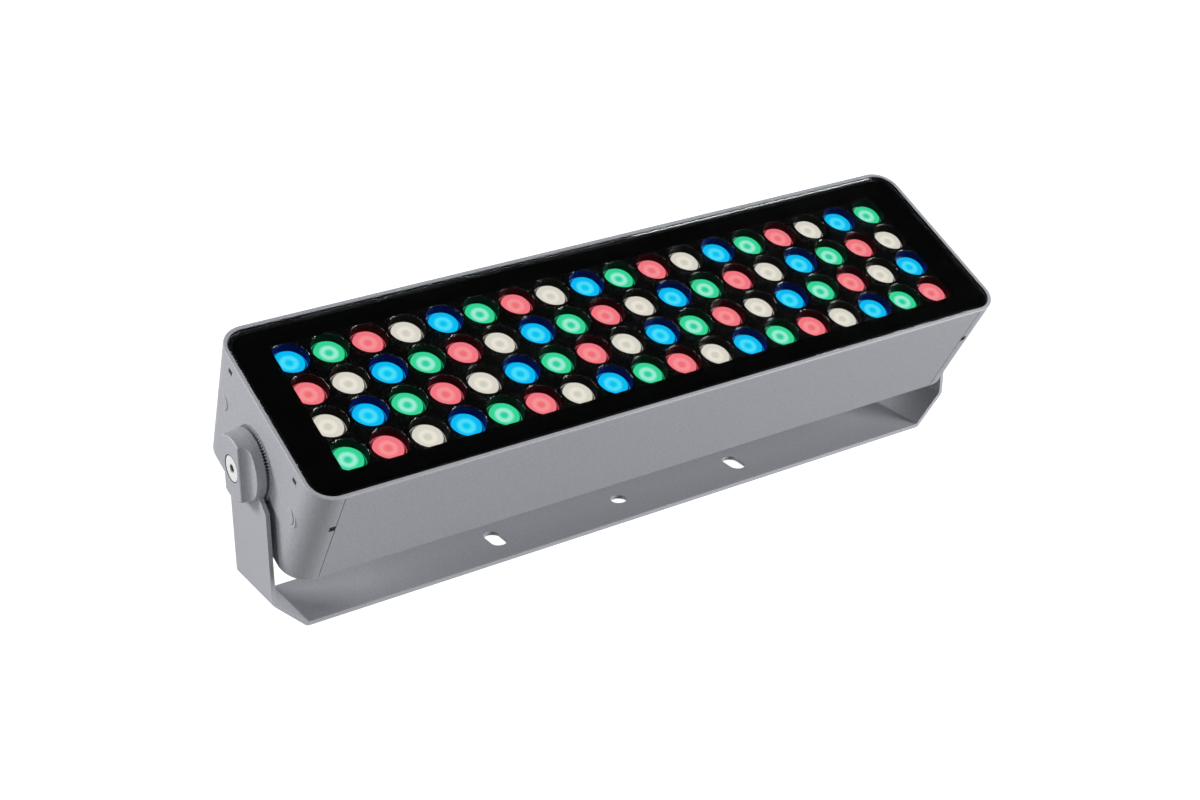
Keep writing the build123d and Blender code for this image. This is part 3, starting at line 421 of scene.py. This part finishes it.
ink_gloss = 0.05            # baked enamel seen through glass has next to none of its own
border_ink = grained("black_ceramic_enamel", ("020203", "040405"), 3.0, 0.0, (0.5, 0.6), 0.01)
ink_shader = border_ink.node_tree.nodes["Principled BSDF"]
ink_shader.inputs["Specular IOR Level"].default_value = ink_gloss
border = bmesh.new()
loops = []
for level in (border_level - border_thickness, border_level):
    for half, corner in ((border_half, border_corner), (window_half, window_corner)):
        loops.append([border.verts.new(point) for point in rounded_loop(half, corner, level)])
count = len(loops[0])
for index in range(count):
    after = (index + 1) % count
    for one, other in ((0, 1), (2, 3), (0, 2), (1, 3)):
        border.faces.new((loops[one][index], loops[one][after],
                          loops[other][after], loops[other][index]))
printed_border = add_piece("printed_border", border, border_ink, "head")
print("border is", round(border_half[0] - window_half[0], 1), "mm wide at the ends")

# %% [markdown]
# ## Painted shade in the slots and round the pivot screws
#
# The small slots in the end caps are read as places for the hooks of a glare shield. The
# photograph shows them as dark marks, and shows a dark ring and a dark spot at the pivot
# screw. Left bare, the slots, the gap round the screw's head and its socket came out lighter
# than those marks. So black pieces in the rubber finish fill them, just short of the surface.
# They are painted shade: dark pieces put where the hollows only fall into shadow. The
# photograph shows no such pieces, and the imported model has none of them.

# %% Painted shade in the slots
shade_block_sink = 0.5             # mm below the surface
hook_shade_block = (4.0, 4.2, 3.0)         # mm along, across and up
hook_place = (246.8, 41.6, 31.3)    # mm to the end face, across, and above the pivot axis
seam_shade_block = (3.4, 2.0, 4.6)
seam_place = (231.05, 63.4, 8.8)    # mm along, to the long side's face, and above the axis

# The black blocks in the slots are painted shade: they darken hollows that only fall into shadow.
shade_block_mesh = bmesh.new()
shade_block_places = []
for end in (-1, 1):
    for side in (-1, 1):
        hook_along = hook_place[0] - shade_block_sink - hook_shade_block[0] / 2
        seam_across = seam_place[1] - shade_block_sink - seam_shade_block[1] / 2
        shade_block_places.append(((end * hook_along, side * hook_place[1], hook_place[2]), hook_shade_block))
        shade_block_places.append(((end * seam_place[0], side * seam_across, seam_place[2]), seam_shade_block))
for place, size in shade_block_places:
    spot = Matrix.Translation(place) @ Matrix.Diagonal((*size, 1.0))
    bmesh.ops.create_cube(shade_block_mesh, size=1.0, matrix=spot)
painted_shade_slot_blocks = add_piece("painted_shade_slot_blocks", shade_block_mesh, finishes["seal_rubber"], "head")
print("slots plugged:", len(shade_block_places))

# %% Painted shade round the pivot screws
shade_ring_sides = 48
shade_ring_profile = ((260.95, 7.85), (260.95, 8.32), (260.45, 7.7))      # mm along, and radius
socket_shade_place = 259.6   # mm along the pivot axis to its middle
socket_shade_radius = 2.42   # mm
socket_shade_depth = 1.0     # mm

# A black ring in the gap round each screw head and a black disc in its socket are painted shade.
for end, side_name in ((-1, "left"), (1, "right")):
    screw_shade_mesh = bmesh.new()
    turns = []
    for step in range(shade_ring_sides):
        angle = 2 * math.pi * step / shade_ring_sides
        turns.append([
            screw_shade_mesh.verts.new((end * along, radius * math.cos(angle), radius * math.sin(angle)))
            for along, radius in shade_ring_profile])
    for step, turn in enumerate(turns):
        following = turns[(step + 1) % shade_ring_sides]
        for corner in range(len(shade_ring_profile)):
            after = (corner + 1) % len(shade_ring_profile)
            screw_shade_mesh.faces.new((turn[corner], turn[after], following[after], following[corner]))
    spot = (Matrix.Translation((end * socket_shade_place, 0, 0))
            @ Matrix.Rotation(math.pi / 2, 4, "Y"))
    bmesh.ops.create_cone(screw_shade_mesh, cap_ends=True, segments=shade_ring_sides,
                          radius1=socket_shade_radius, radius2=socket_shade_radius,
                          depth=socket_shade_depth, matrix=spot)
    screw_painted_shade = add_piece(f"screw_painted_shade_{side_name}", screw_shade_mesh, finishes["seal_rubber"],
                            "bracket")
print("sides of each screw ring:", shade_ring_sides)

# %% [markdown]
# ## Floor and background
#
# A plain pale floor carries the light, and a white background lies behind it. A brighter lamp
# would whiten the floor and wash out the object with it. Here the floor's white comes mostly
# from a glow that only the camera, glass and, less, gloss see, and a faint shadow stays.

# %% Floor
floor_half = 6.0            # m from its middle to a side
floor_drop = 0.3            # mm below the yoke's foot
floor_mesh = bmesh.new()
bmesh.ops.create_grid(floor_mesh, x_segments=1, y_segments=1, size=floor_half)
floor_data = bpy.data.meshes.new("floor")
floor_mesh.to_mesh(floor_data)
floor_mesh.free()
floor = bpy.data.objects.new("floor", floor_data)
bpy.context.scene.collection.objects.link(floor)
floor.location.z = -floor_drop * MM
print("floor is", 2 * floor_half, "m wide")

# %% Floor paint
floor_seen = 0.95           # glow for the camera and through glass
floor_mirrored = 0.25       # glow in gloss
floor_paint = new_material("floor_paint")
tree = floor_paint.node_tree
rays = add_node(tree, "ShaderNodeLightPath")
seen = add_node(tree, "ShaderNodeMath", {"operation": "MAXIMUM"},
                {0: rays.outputs["Is Camera Ray"], 1: rays.outputs["Is Transmission Ray"]})
lift = add_node(tree, "ShaderNodeMapRange", {"To Min": 0.0, "To Max": floor_seen},
                {"Value": seen.outputs["Value"]})
glossed = add_node(tree, "ShaderNodeMath", {"operation": "MULTIPLY", 1: floor_mirrored},
                   {0: rays.outputs["Is Glossy Ray"]})
glow = add_node(tree, "ShaderNodeMath", {"operation": "MAXIMUM"},
                {0: lift.outputs["Result"], 1: glossed.outputs["Value"]})
floor_shader = add_node(tree, "ShaderNodeBsdfPrincipled",
                        {"Base Color": srgb("A8A8A8"), "Roughness": 0.9,
                         "Emission Color": (1, 1, 1, 1)},
                        {"Emission Strength": glow.outputs["Value"]})
add_node(tree, "ShaderNodeOutputMaterial", {}, {"Surface": floor_shader.outputs["BSDF"]})
floor_data.materials.append(floor_paint)

# %% [markdown]
# ## World
#
# The camera sees a white background. Gloss sees it too, near the horizon, while the studio's
# ceiling is dark: that is what keeps the black glass black.

# %% World light
world = bpy.data.worlds.new("studio")
bpy.context.scene.world = world
world.use_nodes = True
tree = world.node_tree
tree.nodes.clear()
ambient = 0.04              # for all soft light
ceiling = 0.01              # for gloss above the horizon
horizon_band = 0.15         # height over which gloss turns from white to the ceiling
rays = add_node(tree, "ShaderNodeLightPath")
direction = add_node(tree, "ShaderNodeTexCoord")
split = add_node(tree, "ShaderNodeSeparateXYZ", {}, {"Vector": direction.outputs["Generated"]})
mirrored = add_node(tree, "ShaderNodeMapRange",
                    {"From Min": 0.0, "From Max": horizon_band,
                     "To Min": 1.0, "To Max": ceiling},
                    {"Value": split.outputs["Z"]})
sharp = add_node(tree, "ShaderNodeMath", {"operation": "MAXIMUM"},
                 {0: rays.outputs["Is Glossy Ray"], 1: rays.outputs["Is Transmission Ray"]})
unseen = add_node(tree, "ShaderNodeMix", {"data_type": "FLOAT", 2: ambient},
                  {0: sharp.outputs["Value"], 3: mirrored.outputs["Result"]})
strength = add_node(tree, "ShaderNodeMath", {"operation": "MAXIMUM"},
                    {0: unseen.outputs[0], 1: rays.outputs["Is Camera Ray"]})
sky = add_node(tree, "ShaderNodeBackground", {"Color": (1, 1, 1, 1)},
               {"Strength": strength.outputs["Value"]})
add_node(tree, "ShaderNodeOutputWorld", {}, {"Surface": sky.outputs["Background"]})
print("soft light from all round:", ambient)

# %% [markdown]
# ## Lamps
#
# Three plain white soft boxes, as in a product studio. Two stand on the left, one of them
# behind the light, and show its end and the yoke's arm. One stands in front on the right and
# shows the long side. Between them the rounded corner nearest the camera falls darker, which
# gives its shape, and no lamp stands where the glass would mirror it to the camera. They are
# set for the photograph's view. From behind, with the head at the high end of its tilt, the
# faces that point up clip to white, which is a fault left open.


# %% Soft boxes
box_width = 1.0             # m
light_middle = Vector((0.0, 0.0, 0.1))      # m, inside the object


def soft_box(name, place, power):
    """Square area lamp at a place in metres, turned to the object, with a power in watts."""
    lamp = bpy.data.lights.new(name, "AREA")
    lamp.energy = power
    lamp.size = box_width
    box = bpy.data.objects.new(name, lamp)
    bpy.context.scene.collection.objects.link(box)
    box.location = place
    box.rotation_euler = (light_middle - Vector(place)).to_track_quat("-Z", "Y").to_euler()


soft_box("back_left_box", (-2.0, 1.2, 1.4), 46)
soft_box("left_box", (-2.3, -0.3, 0.9), 13)
soft_box("front_right_box", (1.8, -1.6, 0.8), 68)
print("soft boxes:", [lamp.name for lamp in bpy.data.lights])
